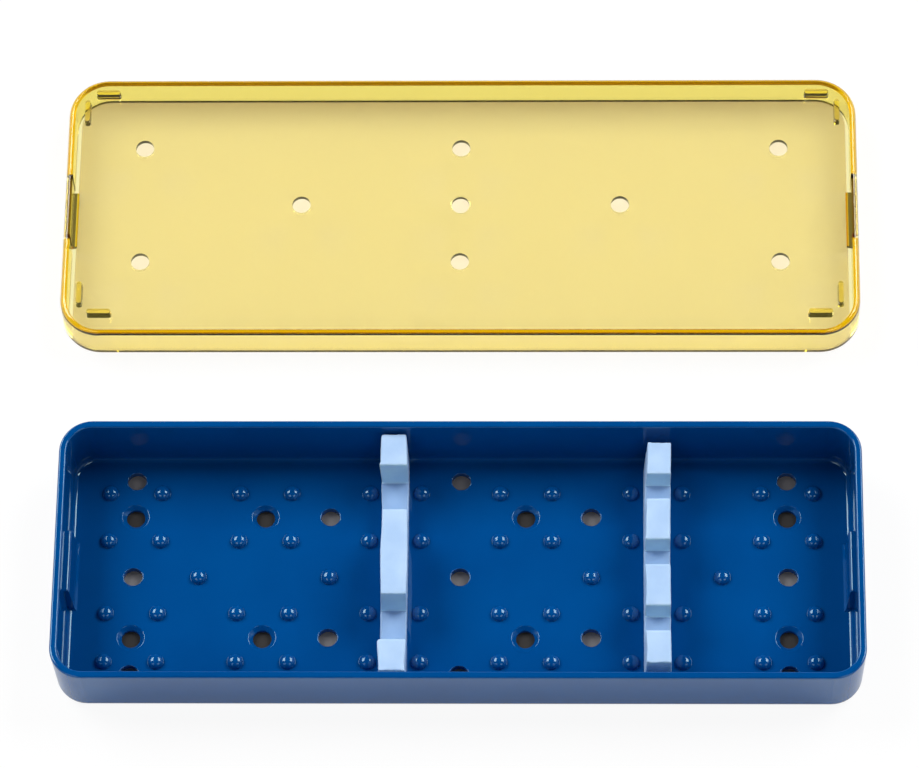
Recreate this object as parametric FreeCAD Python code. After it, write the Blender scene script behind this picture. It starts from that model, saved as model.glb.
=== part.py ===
"""Sterilization tray: a perforated base, a clip-on lid beside it and two slotted silicone bars.

The origin is the centre of the base's underside. +X runs along the tray, +Y towards the lid, +Z up.
All sizes are in millimetres.
"""
import FreeCAD
import Part

import math
import os

from FreeCAD import Vector

# Base, outside sizes at its rim
base_length = 190.5
base_width = 66.0
base_height = 19.5
base_wall = 1.8
base_floor = 1.9
base_corner_radius = 7.8
base_foot_radius = 3.4
base_cove_radius = 1.2
base_rim_radius = 0.5
mould_draft_deg = 1.0

# Hole pattern of the floor: columns are a pitch apart, the middle of the pattern is the origin
hole_pitch = 31.2
socket_columns = 6
socket_diameter = 4.5
socket_lead_in = 0.95
vent_diameter = 4.55
vent_row_offset = 25.0

# Domes that keep instruments off the floor: flat-sided rings at these shares of the way up a round one
dome_diameter = 3.9
dome_height = 1.6
dome_offset = 6.2
dome_sides = 12
dome_rings = (0, 0.45, 0.85)

# Latch pocket in each end wall: open downwards outside, a boss inside
latch_clearance = 0.5
pocket_depth_clearance = 0.25
pocket_side_clearance = 0.3
boss_top_drop = 0.8
boss_side_wall = 0.1
boss_side_draft = 0.4
boss_proud_top = 1.2
boss_proud_foot = 1.6
boss_edge_radius = 0.7
boss_cove = 0.5

# Lid: a plate with a skirt that goes over the base's rim
lid_end_clearance = 0.4
lid_side_clearance = 0.6
skirt_wall = 1.5
skirt_depth = 8.8
lid_plate = 1.3
lid_edge_radius = 1.25
lid_hole_diameter = 4.5
lid_middle_hole_diameter = 5.0
lid_middle_hole_chamfer = 0.3

# Where the lid lies: the room between it and the base, and how far it is off the base's middle
lid_gap = 27.65
lid_aside = -0.8

# Spacer ribs on the lid: two at each corner, one along X and one along Y
rib_length = 6.2
rib_thickness = 1.6
rib_height = 2.3
rib_corner_cut = 0.5
rib_draft_deg = 4.0
rib_along_x_inset = (9.7, 4.95)
rib_along_y_inset = (4.75, 10.05)

# Latch tongues of the lid
tongue_width = 15.1
tongue_slit = 1.3
tongue_root_gap = 0.1
tongue_foot_gap = 0.3
hook_width = 14.8
hook_proud = 1.2
hook_height = 1.2
hook_lead_in = 0.6

# Silicone bars: the end clearances are to the walls of the base at the bar's foot
bar_thickness = 6.3
bar_rim_drop = 2.0
bar_seat_gap = 0.1
bar_foot_radius = 1.6
peg_clearance = 0.15
peg_floor_gap = 0.3
peg_tip_chamfer = 0.4
slot_corner_radius = 0.6
two_slot_end_clearance = 0.45
two_slot_pitch = 33.1
two_slot_width = 11.4
two_slot_depth = 10.3
three_slot_end_clearance = 2.55
three_slot_pitch = 16.9
three_slot_width = 6.3
three_slot_depth = 7.0

# Values that follow from the sizes above
draft = math.tan(math.radians(mould_draft_deg))
row_y = hole_pitch / 2
end_column_x = hole_pitch * (socket_columns - 1) / 2
socket_radius = socket_diameter / 2
vent_radius = vent_diameter / 2
lid_height = skirt_depth + lid_plate
lid_length = base_length + 2 * (lid_end_clearance + skirt_wall)
lid_width = base_width + 2 * (lid_side_clearance + skirt_wall)
lid_corner_radius = base_corner_radius + lid_end_clearance + skirt_wall
lid_centre_y = (base_width + lid_width) / 2 + lid_gap
pocket_ledge_height = base_height - skirt_depth + tongue_foot_gap + hook_height + latch_clearance
pocket_depth = hook_proud - lid_end_clearance + pocket_depth_clearance
pocket_half_width = tongue_width / 2 + pocket_side_clearance
boss_top_height = pocket_ledge_height - boss_top_drop
bar_bottom_height = base_floor + bar_seat_gap
bar_top_height = base_height - bar_rim_drop
bar_room = base_width - 2 * (base_wall + draft * (base_height - bar_bottom_height))
bar_columns = {"silicone_bar_two_slots": -hole_pitch / 2, "silicone_bar_three_slots": 1.5 * hole_pitch}

# Overrun of the cutting solids past the faces that they open
overrun = 2.0
tolerance = 1e-4


def rounded_outline(length, width, radius, z):
    """A rounded rectangle centred on the Z axis."""
    x = length / 2
    y = width / 2
    middle = radius * math.sqrt(0.5)
    edges = []
    for turn in range(4):
        wide, deep = (x, y) if turn % 2 == 0 else (y, x)
        start = Vector(wide, -deep + radius, 0)
        end = Vector(wide, deep - radius, 0)
        centre = Vector(wide - radius, deep - radius, 0)
        arc_middle = centre + Vector(middle, middle, 0)
        arc_end = Vector(wide - radius, deep, 0)
        spin = FreeCAD.Rotation(Vector(0, 0, 1), 90 * turn)
        points = [spin.multVec(point) + Vector(0, 0, z) for point in (start, end, arc_middle, arc_end)]
        edges.append(Part.makeLine(points[0], points[1]))
        edges.append(Part.Arc(points[1], points[2], points[3]).toShape())
    return Part.Wire(edges)


def drafted_block(length, width, radius, bottom, top, growth_per_height):
    """A rounded block with the given size at its bottom that grows evenly on every side as it rises."""
    growth = growth_per_height * (top - bottom)
    lower = rounded_outline(length, width, radius, bottom)
    upper = rounded_outline(length + 2 * growth, width + 2 * growth, radius + growth, top)
    return Part.makeLoft([lower, upper], True, True)


def edges_at_height(shape, z):
    """The edges of a shape that lie wholly at one height."""
    box = [edge.BoundBox for edge in shape.Edges]
    flat = [abs(b.ZMin - z) < tolerance and abs(b.ZMax - z) < tolerance for b in box]
    return [edge for edge, is_flat in zip(shape.Edges, flat) if is_flat]


def rectangle(x_low, x_high, half_width, z):
    """A horizontal rectangle, symmetric about the XZ plane."""
    corners = [(x_low, -half_width), (x_high, -half_width), (x_high, half_width), (x_low, half_width)]
    points = [Vector(x, y, z) for x, y in corners]
    return Part.makePolygon(points + points[:1])


def mirrored_in_x(shape):
    """The same shape on the other side of the YZ plane."""
    return shape.mirror(Vector(0, 0, 0), Vector(1, 0, 0))


def cavity_half_length(z):
    """Half the length of the space inside the base at height z."""
    return base_length / 2 - base_wall - draft * (base_height - z)


def latch_boss():
    """The boss inside the right end wall that backs the latch pocket, rounded on top, coved at its foot."""
    outside = base_length / 2
    top_half = pocket_half_width + boss_side_wall
    span = boss_top_height - base_floor
    face_slope = (boss_proud_foot - boss_proud_top) / span
    side_slope = boss_side_draft / span
    sections = []
    for height, flare in ((-overrun, boss_cove), (0, boss_cove), (boss_cove, 0), (span, 0)):
        z = base_floor + height
        half_width = top_half + side_slope * (span - height) + flare
        proud = boss_proud_top + face_slope * (span - height) + flare
        sections.append(rectangle(cavity_half_length(z) - proud, outside, half_width, z))
    block = Part.makeLoft(sections, True, True)
    top_edges = [edge for edge in edges_at_height(block, boss_top_height)
                 if edge.BoundBox.XMin < outside - tolerance]
    return block.makeFillet(boss_edge_radius, top_edges)


def base_cavity():
    """The space inside the base, with a cove round its foot and the two latch bosses left out of it."""
    drop = draft * (base_height - base_floor)
    shrink = 2 * (base_wall + drop)
    cavity = drafted_block(base_length - shrink, base_width - shrink, base_corner_radius - base_wall - drop,
                           base_floor, base_height + overrun, draft)
    cavity = cavity.makeFillet(base_cove_radius, edges_at_height(cavity, base_floor))
    boss = latch_boss()
    return cavity.cut([boss, mirrored_in_x(boss)])


def latch_pocket():
    """The pocket outside the right end wall, open downwards, whose ceiling is the ledge for the hook."""
    outside = base_length / 2 - draft * (base_height - pocket_ledge_height)
    return Part.makeBox(pocket_depth + overrun, 2 * pocket_half_width, pocket_ledge_height + overrun,
                        Vector(outside - pocket_depth, -pocket_half_width, -overrun))


def socket_places():
    """Centres of the holes that take the bars' pegs."""
    columns = [-end_column_x + hole_pitch * i for i in range(socket_columns)]
    return [(x, side * row_y) for x in columns for side in (-1, 1)]


def vent_places():
    """Centres of the plain vents: three rows of three, and four between the socket columns."""
    places = [(x, y) for x in (-end_column_x, 0, end_column_x) for y in (-vent_row_offset, 0, vent_row_offset)]
    places += [(side * hole_pitch, y) for side in (-1, 1) for y in (-row_y, row_y)]
    return places


def dome_places():
    """Centres of the domes: four round each socket, and four along the middle of the floor."""
    places = []
    for x, y in socket_places():
        places += [(x + i * dome_offset, y + j * dome_offset) for i in (-1, 1) for j in (-1, 1)]
    places += [(side * step * hole_pitch, 0) for side in (-1, 1) for step in (1, 2)]
    return places


def ring_of_points(sides, radius, z):
    """Points evenly spaced on a horizontal circle about the Z axis."""
    turns = [2 * math.pi * i / sides for i in range(sides)]
    return [Vector(radius * math.cos(turn), radius * math.sin(turn), z) for turn in turns]


def flat_face(points):
    """A flat face with the given corners."""
    return Part.Face(Part.makePolygon(points + points[:1]))


def flat_sided_solid(rings):
    """A solid with flat sides between rings of points, from the lowest ring to the highest."""
    faces = [flat_face(rings[0]), flat_face(rings[-1])]
    for lower, upper in zip(rings, rings[1:]):
        faces += [flat_face([lower[i - 1], lower[i], upper[i], upper[i - 1]]) for i in range(len(lower))]
    return Part.Solid(Part.Shell(faces))


def dome():
    """A dome in flat-sided rings whose corners lie on a sphere, with its foot sunk into the floor."""
    foot_radius = dome_diameter / 2
    sphere_radius = (foot_radius ** 2 + dome_height ** 2) / (2 * dome_height)
    centre_z = base_floor + dome_height - sphere_radius
    foot_rise = math.asin((sphere_radius - dome_height) / sphere_radius)
    rings = [ring_of_points(dome_sides, foot_radius, base_floor / 2)]
    for share in dome_rings:
        rise = foot_rise + (math.pi / 2 - foot_rise) * share
        z = centre_z + sphere_radius * math.sin(rise)
        rings.append(ring_of_points(dome_sides, sphere_radius * math.cos(rise), z))
    return flat_sided_solid(rings)


def through_hole(radius, x, y, bottom, top):
    """A cylinder that runs past both faces of a plate."""
    return Part.makeCylinder(radius, top - bottom + 2 * overrun, Vector(x, y, bottom - overrun))


def tray_base():
    """The base: drafted walls, rounded rim and foot, sockets, vents, domes and latch pockets."""
    drop = draft * base_height
    body = drafted_block(base_length - 2 * drop, base_width - 2 * drop, base_corner_radius - drop,
                         0, base_height, draft)
    body = body.makeFillet(base_foot_radius, edges_at_height(body, 0))
    body = body.cut(base_cavity())
    body = body.makeFillet(base_rim_radius, edges_at_height(body, base_height))
    pocket = latch_pocket()
    holes = [through_hole(socket_radius, x, y, 0, base_floor) for x, y in socket_places()]
    holes += [through_hole(vent_radius, x, y, 0, base_floor) for x, y in vent_places()]
    body = body.cut([pocket, mirrored_in_x(pocket)] + holes)
    sockets = [edge for edge in edges_at_height(body, base_floor)
               if hasattr(edge.Curve, "Radius") and abs(edge.Curve.Radius - socket_radius) < tolerance]
    body = body.makeChamfer(socket_lead_in, sockets)
    bump = dome()
    return body.fuse([bump.translated(Vector(x, y, 0)) for x, y in dome_places()])


def lid_hole_tools():
    """Cutters for the lid's holes: a row of three, and three at each side of it."""
    places = [(x, y) for x in (-end_column_x, 0, end_column_x) for y in (-row_y, row_y)]
    places += [(-end_column_x / 2, 0), (end_column_x / 2, 0)]
    tools = [through_hole(lid_hole_diameter / 2, x, y, skirt_depth, lid_height) for x, y in places]
    middle_radius = lid_middle_hole_diameter / 2
    tools.append(through_hole(middle_radius - lid_middle_hole_chamfer, 0, 0, skirt_depth, lid_height))
    tools.append(Part.makeCone(middle_radius - lid_middle_hole_chamfer, middle_radius, lid_middle_hole_chamfer,
                               Vector(0, 0, lid_height - lid_middle_hole_chamfer)))
    return tools


def cut_corner_ring(length, width, cut, z):
    """The corners of a horizontal rectangle whose own corners are cut off twice, as a coarse rounding."""
    ring = []
    for side_x, side_y in ((1, 1), (-1, 1), (-1, -1), (1, -1)):
        corner = [(0, cut), (0.3 * cut, 0.3 * cut), (cut, 0)]
        if side_x != side_y:
            corner.reverse()
        ring += [Vector(side_x * (length / 2 - x), side_y * (width / 2 - y), z) for x, y in corner]
    return ring


def spacer_rib():
    """An upright rib with cut corners and drafted sides on the lid's top face, along X."""
    foot = lid_height - lid_plate / 2
    top = lid_height + rib_height
    taper = 2 * (top - foot) * math.tan(math.radians(rib_draft_deg))
    return flat_sided_solid([cut_corner_ring(rib_length, rib_thickness, rib_corner_cut, foot),
                             cut_corner_ring(rib_length - taper, rib_thickness - taper, rib_corner_cut, top)])


def spacer_ribs():
    """Two ribs at each corner of the lid."""
    along_x = spacer_rib()
    along_y = spacer_rib()
    along_y.rotate(Vector(0, 0, 0), Vector(0, 0, 1), 90)
    ribs = []
    for rib, inset in ((along_x, rib_along_x_inset), (along_y, rib_along_y_inset)):
        for side_x in (-1, 1):
            for side_y in (-1, 1):
                place = Vector(side_x * (lid_length / 2 - inset[0]), side_y * (lid_width / 2 - inset[1]), 0)
                ribs.append(rib.translated(place))
    return ribs


def lid_shell_blank():
    """The lid before its latch tongues are cut free: plate and skirt, open downwards."""
    flare = draft * lid_height
    body = drafted_block(lid_length + 2 * flare, lid_width + 2 * flare, lid_corner_radius + flare,
                         0, lid_height, -draft)
    body = body.makeFillet(lid_edge_radius, edges_at_height(body, lid_height))
    inner_flare = draft * (skirt_depth + overrun)
    shrink = 2 * (skirt_wall - inner_flare)
    inside = drafted_block(lid_length - shrink, lid_width - shrink, lid_corner_radius - skirt_wall + inner_flare,
                           -overrun, skirt_depth, -draft)
    return body.cut(inside)


def tongue_zone(half_width, bottom, top):
    """A box round the skirt of the right end wall, as wide as asked."""
    reach = skirt_wall + overrun
    start = lid_length / 2 - skirt_wall
    return Part.makeBox(reach, 2 * half_width, top - bottom, Vector(start, -half_width, bottom))


def lid_shell(blank):
    """The lid with its holes, spacer ribs and the openings that free the latch tongues."""
    opening = tongue_zone(tongue_width / 2 + tongue_slit, -overrun, skirt_depth)
    body = blank.cut(lid_hole_tools() + [opening, mirrored_in_x(opening)])
    return body.fuse(spacer_ribs())


def latch_hook():
    """The ridge inside the foot of the right latch tongue: flat on top, with a lead-in underneath."""
    wall_x = lid_length / 2 - skirt_wall + draft * (skirt_depth - tongue_foot_gap)
    root_x = wall_x + skirt_wall / 2
    tip_x = wall_x - hook_proud
    foot = tongue_foot_gap
    top = foot + hook_height
    profile = [(root_x, foot), (tip_x + hook_lead_in, foot), (tip_x, foot + hook_lead_in), (tip_x, top),
               (root_x, top)]
    points = [Vector(x, -hook_width / 2, z) for x, z in profile]
    face = Part.Face(Part.makePolygon(points + points[:1]))
    return face.extrude(Vector(0, hook_width, 0))


def latch_tongue(blank):
    """The right latch tongue: a stretch of the skirt with a hook at its foot."""
    zone = tongue_zone(tongue_width / 2, tongue_foot_gap, skirt_depth - tongue_root_gap)
    return blank.common(zone).fuse(latch_hook()).removeSplitter()


def slot_tool(width, depth, y):
    """A slot across a bar, open upwards, with small round corners at its floor."""
    floor = bar_top_height - depth
    tool = Part.makeBox(bar_thickness + 2 * overrun, width, depth + overrun,
                        Vector(-bar_thickness / 2 - overrun, y - width / 2, floor))
    return tool.makeFillet(slot_corner_radius, [edge for edge in edges_at_height(tool, floor)
                                                if edge.BoundBox.XLength > bar_thickness])


def peg(y):
    """A peg under a bar, with a chamfered tip, that fills its socket apart from a small clearance."""
    radius = socket_radius - peg_clearance
    root = bar_bottom_height + bar_seat_gap
    shank = Part.makeCylinder(radius, root - peg_floor_gap - peg_tip_chamfer,
                              Vector(0, y, peg_floor_gap + peg_tip_chamfer))
    tip = Part.makeCone(radius - peg_tip_chamfer, radius, peg_tip_chamfer, Vector(0, y, peg_floor_gap))
    return shank.fuse(tip)


def silicone_bar(length, slot_count, pitch, width, depth):
    """A bar that stands across the tray on two pegs, with slots that hold instruments."""
    body = Part.makeBox(bar_thickness, length, bar_top_height - bar_bottom_height,
                        Vector(-bar_thickness / 2, -length / 2, bar_bottom_height))
    feet = [edge for edge in edges_at_height(body, bar_bottom_height) if edge.BoundBox.YLength < tolerance]
    body = body.makeFillet(bar_foot_radius, feet)
    first = -pitch * (slot_count - 1) / 2
    slots = [slot_tool(width, depth, first + pitch * i) for i in range(slot_count)]
    body = body.cut(slots)
    return body.fuse([peg(-row_y), peg(row_y)]).removeSplitter()


def bars():
    """Both bars, each on its own column of sockets."""
    shapes = {
        "silicone_bar_two_slots": silicone_bar(bar_room - 2 * two_slot_end_clearance, 2, two_slot_pitch,
                                               two_slot_width, two_slot_depth),
        "silicone_bar_three_slots": silicone_bar(bar_room - 2 * three_slot_end_clearance, 3, three_slot_pitch,
                                                 three_slot_width, three_slot_depth),
    }
    return {name: shape.translated(Vector(bar_columns[name], 0, 0)) for name, shape in shapes.items()}


def model():
    """Every piece in its place, by name: the lid lies beside the base, right side up."""
    blank = lid_shell_blank()
    tongue = latch_tongue(blank)
    beside = Vector(lid_aside, lid_centre_y, 0)
    pieces = {
        "tray_base": tray_base(),
        "lid": lid_shell(blank).translated(beside),
        "latch_tongue_right": tongue.translated(beside),
        "latch_tongue_left": mirrored_in_x(tongue).translated(beside),
    }
    pieces.update(bars())
    return pieces


os.makedirs("parts", exist_ok=True)
for node, shape in model().items():
    shape.exportStep("parts/" + node + ".step")
    print(node, "valid", shape.isValid(), "solids", len(shape.Solids), "volume", round(shape.Volume, 1))
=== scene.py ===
"""Looks of a sterilization tray: a glossy blue base, an amber see-through lid and two silicone bars.

Everything is in metres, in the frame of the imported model: +X along the tray, +Y towards the lid, +Z up.
"""

import math

import bmesh
import bpy
from mathutils import Matrix, Vector, noise

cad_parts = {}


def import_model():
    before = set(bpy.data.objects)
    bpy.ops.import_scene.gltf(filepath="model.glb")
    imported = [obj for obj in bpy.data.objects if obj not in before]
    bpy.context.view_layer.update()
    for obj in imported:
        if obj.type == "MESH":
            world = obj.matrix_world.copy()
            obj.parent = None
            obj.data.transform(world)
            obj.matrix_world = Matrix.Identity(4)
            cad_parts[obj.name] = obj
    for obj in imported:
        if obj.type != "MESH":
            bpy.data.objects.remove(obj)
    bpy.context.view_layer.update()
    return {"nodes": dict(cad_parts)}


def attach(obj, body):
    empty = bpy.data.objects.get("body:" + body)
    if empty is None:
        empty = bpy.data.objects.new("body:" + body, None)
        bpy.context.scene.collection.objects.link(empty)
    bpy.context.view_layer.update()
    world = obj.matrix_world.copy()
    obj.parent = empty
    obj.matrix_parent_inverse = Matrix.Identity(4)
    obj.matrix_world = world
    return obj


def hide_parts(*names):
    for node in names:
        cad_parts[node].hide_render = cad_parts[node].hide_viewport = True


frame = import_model()

MM = 0.001

# Camera, from the fit to the photograph
PHOTO_WIDTH = 919
SENSOR_WIDTH = 36.0
FOCAL_PIXELS = 4969.35
CAMERA_ELEVATION = math.radians(64.5)
CAMERA_YAW = math.radians(-3.65)
CAMERA_ROLL = math.radians(-3.31)
CAMERA_AIM = Vector((-0.80, 51.87, 0.0)) * MM
CAMERA_DISTANCE = 1207.07 * MM

# The floor pattern of the base
HOLE_PITCH = 31.2 * MM
SOCKET_COLUMNS = 6
SOCKET_RADIUS = 2.25 * MM
SOCKET_LEAD_IN = 0.95 * MM
VENT_RADIUS = 2.275 * MM
VENT_ROW = 25.0 * MM
BASE_FLOOR = 1.9 * MM
DOME_OFFSET = 6.2 * MM
DOME_RADIUS = 1.98 * MM
DOME_HEIGHT = 1.6 * MM
DOME_POWER = 2.15
DOME_STEPS = 40
LIP_STEPS = 64

# The lid's footprint, where the floor gets painted tinted shade, and how the lid's faces are told apart
LID_MIDDLE = Vector((-0.8, 95.75, 0.0)) * MM
LID_REACH = (95.0 * MM, 34.6 * MM)
LID_CORNER = 8.0 * MM
LID_FOOT_TOP = 0.5 * MM
LID_SKIRT_TOP = 9.0 * MM
LID_FOOT_FACING = -0.9
LID_UPRIGHT_FACING = 0.5

# Silicone bars, each as (node, body, middle along X, half length, edges). The edges say how far the bar's
# top strays sideways along it, as (place along Y, left edge, right edge) in mm
BAR_THICKNESS = 6.3 * MM
BAR_FOOT = 2.0 * MM
BAR_TOP = 17.5 * MM
BAR_VOXEL = 0.3 * MM
BAR_ROUGH_SIZE = 0.9 * MM
BAR_FINE_SIZE = 0.35 * MM
BAR_SIDE_ROUGH = 0.05 * MM
BAR_END_REACH = 0.35 * MM
BAR_END_ROUGH = 0.16 * MM
BAR_END_FINE = 0.1 * MM
BAR_TOP_MARGIN = 0.5 * MM
BAR_END_MARGIN = 1.0 * MM
BAR_FACING = 0.7
TWO_SLOT_BAR = ("silicone_bar_two_slots", "bar_two_slots", -HOLE_PITCH / 2, 30.45 * MM, (
    (30.5, 0.05, -0.35), (26.8, -0.09, -0.15), (23.2, -0.06, 0.0), (21.6, -0.7, 0.15), (16.6, 0.0, 0.1),
    (11.2, 0.3, 0.1), (10.4, 0.6, 0.23), (5.3, 0.48, 0.34), (0.1, 0.28, 0.43), (-5.0, 0.42, 0.39),
    (-10.4, 0.62, 0.27), (-11.4, 0.5, 0.2), (-16.4, 0.7, 0.15), (-21.8, 0.6, 0.3), (-22.8, -0.1, 0.42),
    (-25.3, 0.06, 0.34), (-27.8, 0.31, 0.18), (-30.5, 0.40, 0.2)))
THREE_SLOT_BAR = ("silicone_bar_three_slots", "bar_three_slots", 1.5 * HOLE_PITCH, 28.35 * MM, (
    (28.4, 0.95, 0.2), (24.2, 0.9, 0.16), (20.8, 0.75, 0.1), (19.6, 0.7, 0.3), (14.6, 0.5, 0.2),
    (13.4, 0.55, -0.04), (9.2, 0.55, -0.07), (4.6, 0.42, -0.11), (2.7, 0.2, -0.2), (-2.4, 0.1, -0.2),
    (-4.0, 0.32, -0.11), (-8.7, 0.5, -0.1), (-13.0, 0.35, -0.1), (-14.2, 0.15, 0.0), (-19.2, 0.05, -0.15),
    (-20.9, 0.4, -0.12), (-24.7, 0.55, -0.06), (-28.4, 0.42, 0.0)))

# Colours, linear
WHITE = (1.0, 1.0, 1.0)
BLUE_DARK = (0.0, 0.066, 0.262)
BLUE_LIGHT = (0.0, 0.074, 0.285)
BLUE_GLOSS = (0.68, 0.97, 1.0)
AMBER_DEPTH = (0.983, 0.894, 0.038)
AMBER_DENSITY = 520.0
PLATE_SHADOW = (0.95, 0.95, 0.95)
SKIRT_SHADOW = (0.5, 0.48, 0.42)
# Painted shade: the latch tongues' foot faces let almost no light through, for the dark contact by the floor
TONGUE_FOOT_PAINTED_SHADE = (0.06, 0.05, 0.04)
SILICONE_DARK = (0.40, 0.59, 0.87)
SILICONE_LIGHT = (0.47, 0.66, 0.92)
# Painted shade: the floors of the bars' slots are darker
SLOT_FLOOR_PAINTED_SHADE = (0.60, 0.69, 0.80)
# Painted light: the faces across a bar, its slot walls and its front end, are lighter
ACROSS_FACE_PAINTED_LIGHT = (1.2, 1.25, 1.08)

# The floor's paper: its colours, what it gives off where it is looked at, and the share of that
FLOOR_HALF = 4.0
FLOOR_DROP = 0.2 * MM
BASE_SHADE_REACH = (86.0 * MM, 27.8 * MM)
SOCKET_SHADE_RADIUS = 4.5 * MM
PAPER = (0.9, 0.9, 0.9)
# Painted tinted shade: the paper under the lid is darker and tinted
PAPER_PAINTED_SHADE_UNDER_LID = (0.663, 0.661, 0.826)
# Painted shade: the paper is dark under the base, darker still round the sockets
PAPER_PAINTED_SHADE_UNDER_BASE = (0.22, 0.21, 0.21)
PAPER_PAINTED_SHADE_UNDER_SOCKETS = (0.045, 0.042, 0.04)
GLOW = (1.02, 1.02, 1.02)
# Painted tinted shade: the glow under the lid is dimmer and tinted
GLOW_PAINTED_SHADE_UNDER_LID = (0.642, 0.526, 0.59)
GLOW_SHARE = 0.9
GLOW_SHARE_LOST_UNDER_LID = 0.55
GLOW_SHARE_MIRRORED = 0.33

# Lamps: level panels at one height, their sides given as slopes seen from the tray
LAMP_HEIGHT = 3.0
SOFTBOX_ACROSS = (0.45, 1.35)
SOFTBOX_ALONG = (0.15, 1.12)
SOFTBOX_RADIANCE = 7.4
FILL_ACROSS = (0.3, 0.9)
FILL_ALONG = (-1.0, -0.4)
FILL_RADIANCE = 2.0

# The horizon: its strength from its foot to its top, by how steeply it is looked at
HORIZON_RISE = (0.20, 0.36)
HORIZON_STRENGTH = (0.9, 0.01)


def new_material(name):
    """A material with its nodes, its links, its Principled shader and its output."""
    material = bpy.data.materials.new(name)
    material.use_nodes = True
    nodes = material.node_tree.nodes
    return material, nodes, material.node_tree.links, nodes["Principled BSDF"], nodes["Material Output"]


def object_noise(nodes, links, scale, detail, roughness=0.5):
    """A noise texture in object coordinates."""
    place = nodes.new("ShaderNodeTexCoord")
    texture = nodes.new("ShaderNodeTexNoise")
    texture.inputs["Scale"].default_value = scale
    texture.inputs["Detail"].default_value = detail
    texture.inputs["Roughness"].default_value = roughness
    links.new(place.outputs["Object"], texture.inputs["Vector"])
    return texture


def ramp(nodes, links, source, low, high, low_at=0.35, high_at=0.65):
    """Two colours spread over a texture's values."""
    blend = nodes.new("ShaderNodeValToRGB")
    blend.color_ramp.elements[0].position = low_at
    blend.color_ramp.elements[0].color = (*low, 1.0)
    blend.color_ramp.elements[1].position = high_at
    blend.color_ramp.elements[1].color = (*high, 1.0)
    links.new(source, blend.inputs["Fac"])
    return blend.outputs["Color"]


def bumps(nodes, links, shader, source, strength, distance):
    """Fine relief on a shader's normal."""
    bump = nodes.new("ShaderNodeBump")
    bump.inputs["Strength"].default_value = strength
    bump.inputs["Distance"].default_value = distance
    links.new(source, bump.inputs["Height"])
    links.new(bump.outputs["Normal"], shader.inputs["Normal"])


def base_plastic():
    """Glossy blue thermoplastic with faint flow clouds and a moulded skin."""
    material, nodes, links, shader, _ = new_material("blue_plastic")
    clouds = object_noise(nodes, links, scale=45.0, detail=3.0)
    colour = ramp(nodes, links, clouds.outputs["Fac"], BLUE_DARK, BLUE_LIGHT)
    links.new(colour, shader.inputs["Base Color"])
    shader.inputs["Roughness"].default_value = 0.05
    shader.inputs["IOR"].default_value = 1.65
    shader.inputs["Specular Tint"].default_value = (*BLUE_GLOSS, 1.0)
    skin = object_noise(nodes, links, scale=900.0, detail=2.0)
    bumps(nodes, links, shader, skin.outputs["Fac"], strength=0.03, distance=0.02 * MM)
    return material


def lid_plastic(name, tint, shadow_tint):
    """Clear amber thermoplastic that darkens with the length of the way through it.

    Lamp light passes straight through it, weakened by the shadow tint.
    """
    material, nodes, links, shader, output = new_material(name)
    shader.inputs["Base Color"].default_value = (*tint, 1.0)
    shader.inputs["Transmission Weight"].default_value = 1.0
    shader.inputs["Roughness"].default_value = 0.02
    shader.inputs["IOR"].default_value = 1.6
    light_path = nodes.new("ShaderNodeLightPath")
    clear = nodes.new("ShaderNodeBsdfTransparent")
    clear.inputs["Color"].default_value = (*shadow_tint, 1.0)
    mix = nodes.new("ShaderNodeMixShader")
    links.new(light_path.outputs["Is Shadow Ray"], mix.inputs["Fac"])
    links.new(shader.outputs["BSDF"], mix.inputs[1])
    links.new(clear.outputs["BSDF"], mix.inputs[2])
    links.new(mix.outputs["Shader"], output.inputs["Surface"])
    depth = nodes.new("ShaderNodeVolumeAbsorption")
    depth.inputs["Color"].default_value = (*AMBER_DEPTH, 1.0)
    depth.inputs["Density"].default_value = AMBER_DENSITY
    links.new(depth.outputs["Volume"], output.inputs["Volume"])
    return material


def silicone(name, tint):
    """Matt light blue silicone rubber, with a tint that makes it lighter as painted light or darker as painted
    shade.
    """
    material, nodes, links, shader, _ = new_material(name)
    clouds = object_noise(nodes, links, scale=160.0, detail=4.0)
    dark = tuple(a * b for a, b in zip(SILICONE_DARK, tint))
    light = tuple(a * b for a, b in zip(SILICONE_LIGHT, tint))
    colour = ramp(nodes, links, clouds.outputs["Fac"], dark, light)
    links.new(colour, shader.inputs["Base Color"])
    shader.inputs["Roughness"].default_value = 0.6
    shader.inputs["Subsurface Weight"].default_value = 0.15
    shader.inputs["Subsurface Radius"].default_value = (0.6, 0.8, 1.0)
    shader.inputs["Subsurface Scale"].default_value = 0.002
    grain = object_noise(nodes, links, scale=1500.0, detail=4.0, roughness=0.65)
    bumps(nodes, links, shader, grain.outputs["Fac"], strength=0.25, distance=0.1 * MM)
    return material


def give(obj, material):
    """Every face of an object gets one material."""
    obj.data.materials.clear()
    obj.data.materials.append(material)


def give_amber(obj, plate, skirt, foot):
    """The faces of a lid piece by where they are: on or above the plate, upright below it, or its foot."""
    give(obj, plate)
    obj.data.materials.append(skirt)
    obj.data.materials.append(foot)
    for face in obj.data.polygons:
        if face.normal.z < LID_FOOT_FACING and face.center.z < LID_FOOT_TOP:
            face.material_index = 2
        elif abs(face.normal.z) < LID_UPRIGHT_FACING and face.center.z < LID_SKIRT_TOP:
            face.material_index = 1


def new_object(name, builder, material):
    """A mesh object from a filled bmesh, smooth shaded."""
    mesh = bpy.data.meshes.new(name)
    builder.to_mesh(mesh)
    builder.free()
    for face in mesh.polygons:
        face.use_smooth = True
    obj = bpy.data.objects.new(name, mesh)
    bpy.context.scene.collection.objects.link(obj)
    give(obj, material)
    return obj


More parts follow.
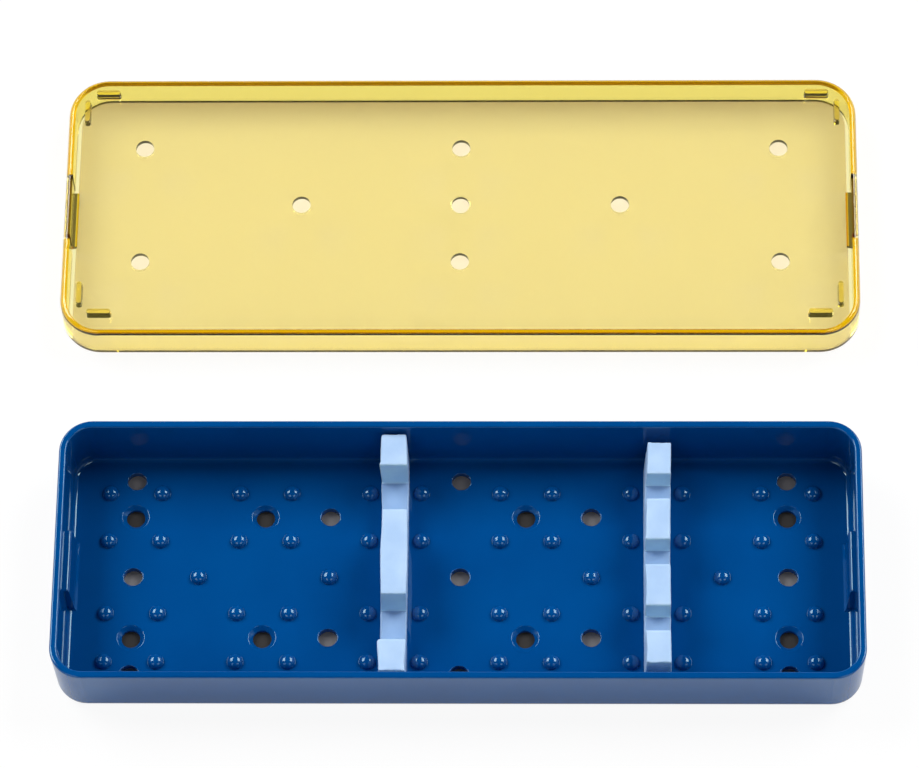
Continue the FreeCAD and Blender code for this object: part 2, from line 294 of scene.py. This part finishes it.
def revolve(builder, profile, centre, steps):
    """Turns a profile of (radius, height) points about the vertical through the centre. Radius 0 ends it."""
    rings = []
    for radius, height in profile:
        if radius == 0:
            rings.append([builder.verts.new(centre + Vector((0, 0, height)))])
            continue
        turns = [2 * math.pi * i / steps for i in range(steps)]
        rings.append([builder.verts.new(centre + Vector((radius * math.cos(t), radius * math.sin(t), height)))
                      for t in turns])
    for lower, upper in zip(rings, rings[1:]):
        for i in range(steps):
            j = (i + 1) % steps
            if len(upper) == 1:
                builder.faces.new((lower[i], lower[j], upper[0]))
            else:
                builder.faces.new((lower[i], lower[j], upper[j], upper[i]))


def socket_places():
    """Centres of the sockets on the base's floor."""
    first = -HOLE_PITCH * (SOCKET_COLUMNS - 1) / 2
    return [Vector((first + HOLE_PITCH * i, side * HOLE_PITCH / 2, BASE_FLOOR))
            for i in range(SOCKET_COLUMNS) for side in (-1, 1)]


def vent_places():
    """Centres of the plain vents on the base's floor."""
    end = HOLE_PITCH * (SOCKET_COLUMNS - 1) / 2
    places = [(x, y) for x in (-end, 0, end) for y in (-VENT_ROW, 0, VENT_ROW)]
    places += [(side * HOLE_PITCH, y) for side in (-1, 1) for y in (-HOLE_PITCH / 2, HOLE_PITCH / 2)]
    return [Vector((x, y, BASE_FLOOR)) for x, y in places]


def dome_places():
    """Centres of the domes: four round each socket, and four along the middle."""
    places = [centre + Vector((i * DOME_OFFSET, j * DOME_OFFSET, 0))
              for centre in socket_places() for i in (-1, 1) for j in (-1, 1)]
    places += [Vector((side * step * HOLE_PITCH, 0, BASE_FLOOR)) for side in (-1, 1) for step in (1, 2)]
    return places


def dome_profile():
    """A steep side and a full crown, from just under the floor up."""
    root = -0.05 * MM
    last = 14
    profile = [(DOME_RADIUS, root)]
    for i in range(last + 1):
        turn = math.pi / 2 * i / last
        height = DOME_HEIGHT * math.sin(turn) ** (2 / DOME_POWER)
        radius = DOME_RADIUS * max(math.cos(turn), 0.0) ** (2 / DOME_POWER)
        profile.append((radius if i < last else 0, height))
    return profile


def floor_domes(material):
    """The smooth skin of every dome on the base's floor."""
    builder = bmesh.new()
    profile = dome_profile()
    for centre in dome_places():
        revolve(builder, profile, centre, DOME_STEPS)
    obj = new_object("floor_domes", builder, material)
    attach(obj, "base")


def lips(name, places, profile, material):
    """The same turned skin round the mouth of every hole."""
    builder = bmesh.new()
    for centre in places:
        revolve(builder, profile, centre, LIP_STEPS)
    obj = new_object(name, builder, material)
    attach(obj, "base")


def socket_profile():
    """A countersunk mouth: a tight round edge, a straight lead-in and a round edge to the bore."""
    skin = 0.035 * MM
    outer_edge = 0.4 * MM
    inner_edge = 0.15 * MM
    mouth = SOCKET_RADIUS + SOCKET_LEAD_IN
    slope = math.radians(45)
    half = math.tan(slope / 2)
    arc_steps = 5
    hem_reach = 0.7 * MM
    hem_sink = 0.008 * MM
    shoulder_reach = 0.15 * MM
    shoulder_share = 0.9
    bore_depth = 0.4 * MM
    corner = mouth + skin * (math.sqrt(2) - 1)
    top = corner + outer_edge * half
    profile = [(top + hem_reach, -hem_sink), (top + shoulder_reach, skin * shoulder_share)]
    for i in range(arc_steps + 1):
        t = slope * i / arc_steps
        profile.append((top - outer_edge * math.sin(t), skin - outer_edge * (1 - math.cos(t))))
    bore = SOCKET_RADIUS - skin
    bend = skin - (corner - bore)
    low = bend - inner_edge * half
    for i in range(arc_steps + 1):
        t = slope * (1 + i / arc_steps)
        profile.append((bore + inner_edge * (1 - math.sin(t)), low + inner_edge * math.cos(t)))
    profile.append((bore, low - bore_depth))
    return profile


def vent_profile():
    """A low bead of flash round a plain hole, and the top of its bore."""
    skin = 0.02 * MM
    inner = VENT_RADIUS - skin
    bead = 0.13 * MM
    bead_height = 0.07 * MM
    hem_reach = 0.1 * MM
    bore_depth = 0.6 * MM
    arc_steps = 8
    profile = [(inner + 2 * bead + hem_reach, -skin)]
    for i in range(arc_steps + 1):
        t = math.pi * i / arc_steps
        profile.append((inner + bead * (1 + math.cos(t)), bead_height * math.sin(t)))
    profile.append((inner, -bore_depth))
    return profile


def bar_stray(place, middle, edges):
    """How far a soft bar strays sideways at a point: its edges wander along it, least at its foot."""
    after = next((i for i in range(1, len(edges) - 1) if edges[i][0] < place.y / MM), len(edges) - 1)
    (y0, left0, right0), (y1, left1, right1) = edges[after - 1], edges[after]
    share = min(max((place.y / MM - y0) / (y1 - y0), 0.0), 1.0)
    left = left0 + (left1 - left0) * share
    right = right0 + (right1 - right0) * share
    across = min(max((place.x - middle) / BAR_THICKNESS + 0.5, 0.0), 1.0)
    rise = min(max((place.z - BAR_FOOT) / (BAR_TOP - BAR_FOOT), 0.0), 1.0)
    return (left + (right - left) * across) * rise * MM


def give_silicone(obj, half_length, materials):
    """The faces of a bar by where they are: its outside, its slots' floors with painted shade, or a face
    across it (slot walls and front end) with painted light.
    """
    give(obj, materials[0])
    for material in materials[1:]:
        obj.data.materials.append(material)
    for face in obj.data.polygons:
        face.use_smooth = True
        if face.center.z < BAR_TOP - BAR_TOP_MARGIN and abs(face.center.y) < half_length - BAR_END_MARGIN:
            if face.normal.z > BAR_FACING:
                face.material_index = 1
            elif abs(face.normal.y) > BAR_FACING:
                face.material_index = 2
        elif face.normal.y < -BAR_FACING:
            face.material_index = 2


def soft_bar(node, middle, half_length, edges, materials):
    """A silicone bar remeshed from its solid, with soft wandering edges and roughly cut ends."""
    source = frame["nodes"][node]
    obj = bpy.data.objects.new("soft_" + node, source.data.copy())
    bpy.context.scene.collection.objects.link(obj)
    remesh = obj.modifiers.new("remesh", "REMESH")
    remesh.mode = "VOXEL"
    remesh.voxel_size = BAR_VOXEL
    smooth = obj.modifiers.new("smooth", "SMOOTH")
    smooth.factor = 0.5
    smooth.iterations = 2
    graph = bpy.context.evaluated_depsgraph_get()
    mesh = bpy.data.meshes.new_from_object(obj.evaluated_get(graph))
    obj.modifiers.clear()
    obj.data = mesh
    for vertex in mesh.vertices:
        place = vertex.co.copy()
        rough = noise.noise(place / BAR_ROUGH_SIZE)
        fine = noise.noise(place / BAR_FINE_SIZE)
        vertex.co.x += bar_stray(place, middle, edges) + BAR_SIDE_ROUGH * rough
        if abs(place.y) > half_length - BAR_END_REACH:
            inwards = BAR_END_ROUGH * (1 + rough) + BAR_END_FINE * fine
            vertex.co.y -= math.copysign(inwards, place.y)
    give_silicone(obj, half_length, materials)
    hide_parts(node)
    return obj


def node_math(nodes, links, operation, *values):
    """One step of arithmetic on sockets or numbers."""
    step = nodes.new("ShaderNodeMath")
    step.operation = operation
    for socket, value in zip(step.inputs, values):
        if isinstance(value, (int, float)):
            socket.default_value = value
        else:
            links.new(value, socket)
    return step.outputs[0]


def far_off(nodes, links, place, centre):
    """How far one coordinate lies from a centre, on either side."""
    return node_math(nodes, links, "ABSOLUTE", node_math(nodes, links, "SUBTRACT", place, centre))


def within(nodes, links, sides, radius):
    """1 where two sides at a right angle span less than a radius, and 0 elsewhere."""
    squares = [node_math(nodes, links, "MULTIPLY", side, side) for side in sides]
    distance = node_math(nodes, links, "SQRT", node_math(nodes, links, "ADD", *squares))
    return node_math(nodes, links, "LESS_THAN", distance, radius)


def inside_patch(nodes, links, axes, reach):
    """1 inside an upright rectangle about the floor's origin and 0 outside it."""
    checks = []
    for axis, half in zip("XY", reach):
        size = far_off(nodes, links, axes.outputs[axis], 0.0)
        checks.append(node_math(nodes, links, "LESS_THAN", size, half))
    return node_math(nodes, links, "MULTIPLY", *checks)


def round_patch(nodes, links, axes, middle, reach, corner):
    """1 inside a rectangle of the floor with round corners and 0 outside it."""
    sides = []
    for axis, centre, half in zip("XY", middle, reach):
        size = far_off(nodes, links, axes.outputs[axis], centre)
        past = node_math(nodes, links, "SUBTRACT", size, half - corner)
        sides.append(node_math(nodes, links, "MAXIMUM", past, 0.0))
    return within(nodes, links, sides, corner)


def near_sockets(nodes, links, axes, radius):
    """1 within a radius of any socket's centre, by the pattern's pitch, and 0 elsewhere."""
    along = node_math(nodes, links, "ABSOLUTE", axes.outputs["X"])
    along = node_math(nodes, links, "MODULO", along, HOLE_PITCH)
    along = node_math(nodes, links, "SUBTRACT", along, HOLE_PITCH / 2)
    across = node_math(nodes, links, "ABSOLUTE", axes.outputs["Y"])
    across = node_math(nodes, links, "SUBTRACT", across, HOLE_PITCH / 2)
    return within(nodes, links, (along, across), radius)


def colour_mix(nodes, links, share, low, high):
    """Goes from one colour to another with a share."""
    mix = nodes.new("ShaderNodeMix")
    mix.data_type = "RGBA"
    for socket, value in ((mix.inputs[6], low), (mix.inputs[7], high)):
        if isinstance(value, tuple):
            socket.default_value = (*value, 1.0)
        else:
            links.new(value, socket)
    links.new(share, mix.inputs[0])
    return mix.outputs[2]


def floor_material():
    """Pale paper, mostly plain white where it is looked at, with painted tinted shade under the lid and
    painted shade under the base.
    """
    material, nodes, links, shader, output = new_material("pale_floor")
    shader.inputs["Roughness"].default_value = 1.0
    shader.inputs["Specular IOR Level"].default_value = 0.0
    place = nodes.new("ShaderNodeTexCoord")
    axes = nodes.new("ShaderNodeSeparateXYZ")
    links.new(place.outputs["Object"], axes.inputs["Vector"])
    under_base = inside_patch(nodes, links, axes, BASE_SHADE_REACH)
    under_lid = round_patch(nodes, links, axes, (LID_MIDDLE.x, LID_MIDDLE.y), LID_REACH, LID_CORNER)
    under_sockets = near_sockets(nodes, links, axes, SOCKET_SHADE_RADIUS)
    # Painted shade under the base, deeper round the sockets
    shade = colour_mix(nodes, links, under_sockets, PAPER_PAINTED_SHADE_UNDER_BASE, PAPER_PAINTED_SHADE_UNDER_SOCKETS)
    # Painted tinted shade under the lid, in the paper and in its glow
    paper = colour_mix(nodes, links, under_lid, PAPER, PAPER_PAINTED_SHADE_UNDER_LID)
    links.new(colour_mix(nodes, links, under_base, paper, shade), shader.inputs["Base Color"])
    glow = nodes.new("ShaderNodeEmission")
    links.new(colour_mix(nodes, links, under_lid, GLOW, GLOW_PAINTED_SHADE_UNDER_LID), glow.inputs["Color"])
    light_path = nodes.new("ShaderNodeLightPath")
    looked_at = node_math(nodes, links, "MAXIMUM", light_path.outputs["Is Camera Ray"],
                          light_path.outputs["Is Transmission Ray"])
    mirrored = node_math(nodes, links, "MULTIPLY", light_path.outputs["Is Glossy Ray"],
                         GLOW_SHARE_MIRRORED)
    looked_at = node_math(nodes, links, "MAXIMUM", looked_at, mirrored)
    less = node_math(nodes, links, "MULTIPLY", under_lid, -GLOW_SHARE_LOST_UNDER_LID)
    share = node_math(nodes, links, "ADD", less, GLOW_SHARE)
    share = node_math(nodes, links, "MULTIPLY", share, looked_at)
    share = node_math(nodes, links, "MULTIPLY", share, node_math(nodes, links, "SUBTRACT", 1.0, under_base))
    mix = nodes.new("ShaderNodeMixShader")
    links.new(share, mix.inputs["Fac"])
    links.new(shader.outputs["BSDF"], mix.inputs[1])
    links.new(glow.outputs["Emission"], mix.inputs[2])
    links.new(mix.outputs["Shader"], output.inputs["Surface"])
    return material


def floor():
    """A wide pale floor just under the tray."""
    builder = bmesh.new()
    bmesh.ops.create_grid(builder, x_segments=1, y_segments=1, size=FLOOR_HALF)
    obj = new_object("floor", builder, floor_material())
    obj.location.z = -FLOOR_DROP


def world():
    """White where the camera looks past the floor, else a pale horizon that fades to dark above."""
    scene_world = bpy.data.worlds.new("studio")
    scene_world.use_nodes = True
    nodes = scene_world.node_tree.nodes
    links = scene_world.node_tree.links
    background = nodes["Background"]
    background.inputs["Color"].default_value = (*WHITE, 1.0)
    place = nodes.new("ShaderNodeTexCoord")
    axes = nodes.new("ShaderNodeSeparateXYZ")
    links.new(place.outputs["Generated"], axes.inputs["Vector"])
    glow = nodes.new("ShaderNodeMapRange")
    glow.inputs["From Min"].default_value, glow.inputs["From Max"].default_value = HORIZON_RISE
    glow.inputs["To Min"].default_value, glow.inputs["To Max"].default_value = HORIZON_STRENGTH
    links.new(axes.outputs["Z"], glow.inputs["Value"])
    links.new(glow.outputs["Result"], background.inputs["Strength"])
    seen = nodes.new("ShaderNodeBackground")
    seen.inputs["Color"].default_value = (*WHITE, 1.0)
    light_path = nodes.new("ShaderNodeLightPath")
    mix = nodes.new("ShaderNodeMixShader")
    links.new(light_path.outputs["Is Camera Ray"], mix.inputs["Fac"])
    links.new(background.outputs["Background"], mix.inputs[1])
    links.new(seen.outputs["Background"], mix.inputs[2])
    links.new(mix.outputs["Shader"], nodes["World Output"].inputs["Surface"])
    bpy.context.scene.world = scene_world


def softbox(name, x, y, radiance):
    """A level rectangular lamp over the tray, between the given sides, as slopes seen from the tray."""
    width = (x[1] - x[0]) * LAMP_HEIGHT
    depth = (y[1] - y[0]) * LAMP_HEIGHT
    lamp = bpy.data.lights.new(name, "AREA")
    lamp.shape = "RECTANGLE"
    lamp.size = width
    lamp.size_y = depth
    lamp.energy = radiance * math.pi * width * depth
    obj = bpy.data.objects.new(name, lamp)
    obj.location = Vector((x[0] + x[1], y[0] + y[1], 2.0)) * LAMP_HEIGHT / 2
    bpy.context.scene.collection.objects.link(obj)


def lamps():
    """A large softbox at each side and a small dim one in front of each, with a dark gap between the sides."""
    for name, side in (("left", -1), ("right", 1)):
        box_across = sorted(side * x for x in SOFTBOX_ACROSS)
        softbox("softbox_" + name, box_across, SOFTBOX_ALONG, SOFTBOX_RADIANCE)
        fill_across = sorted(side * x for x in FILL_ACROSS)
        softbox("fill_" + name, fill_across, FILL_ALONG, FILL_RADIANCE)


def camera():
    """The camera of the photograph: place, direction, roll and focal length."""
    flat = math.cos(CAMERA_ELEVATION)
    forward = Vector((math.sin(CAMERA_YAW) * flat, math.cos(CAMERA_YAW) * flat, -math.sin(CAMERA_ELEVATION)))
    level = Vector((math.cos(CAMERA_YAW), -math.sin(CAMERA_YAW), 0.0))
    upright = level.cross(forward)
    right = math.cos(CAMERA_ROLL) * level + math.sin(CAMERA_ROLL) * upright
    up = -math.sin(CAMERA_ROLL) * level + math.cos(CAMERA_ROLL) * upright
    lens = bpy.data.cameras.new("camera")
    lens.sensor_width = SENSOR_WIDTH
    lens.lens = FOCAL_PIXELS * SENSOR_WIDTH / PHOTO_WIDTH
    lens.clip_start = 0.01
    lens.clip_end = 20.0
    obj = bpy.data.objects.new("camera", lens)
    turn = Matrix((right, up, -forward)).transposed().to_4x4()
    obj.matrix_world = Matrix.Translation(CAMERA_AIM - forward * CAMERA_DISTANCE) @ turn
    bpy.context.scene.collection.objects.link(obj)
    bpy.context.scene.camera = obj


def main():
    """The stage first, then a finish for every piece."""
    bpy.context.scene.view_settings.view_transform = "Standard"
    camera()
    world()
    lamps()
    floor()
    blue = base_plastic()
    plate = lid_plastic("amber_plastic", WHITE, PLATE_SHADOW)
    skirt = lid_plastic("amber_plastic_skirt", WHITE, SKIRT_SHADOW)
    # The tongues' foot faces get painted shade, dark where they meet the floor
    tongue_foot_painted_shade = lid_plastic("amber_plastic_tongue_foot_painted_shade", TONGUE_FOOT_PAINTED_SHADE, SKIRT_SHADOW)
    # The slots' floors get painted shade, and the faces across the bars get painted light
    rubber = (silicone("light_blue_silicone", WHITE),
              silicone("light_blue_silicone_slot_floor_painted_shade", SLOT_FLOOR_PAINTED_SHADE),
              silicone("light_blue_silicone_across_face_painted_light", ACROSS_FACE_PAINTED_LIGHT))
    give(frame["nodes"]["tray_base"], blue)
    for node in ("lid", "latch_tongue_left", "latch_tongue_right"):
        give_amber(frame["nodes"][node], plate, skirt, plate if node == "lid" else tongue_foot_painted_shade)
    floor_domes(blue)
    lips("socket_lips", socket_places(), socket_profile(), blue)
    lips("vent_lips", vent_places(), vent_profile(), blue)
    for node, body, middle, half_length, edges in (TWO_SLOT_BAR, THREE_SLOT_BAR):
        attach(soft_bar(node, middle, half_length, edges, rubber), body)


main()
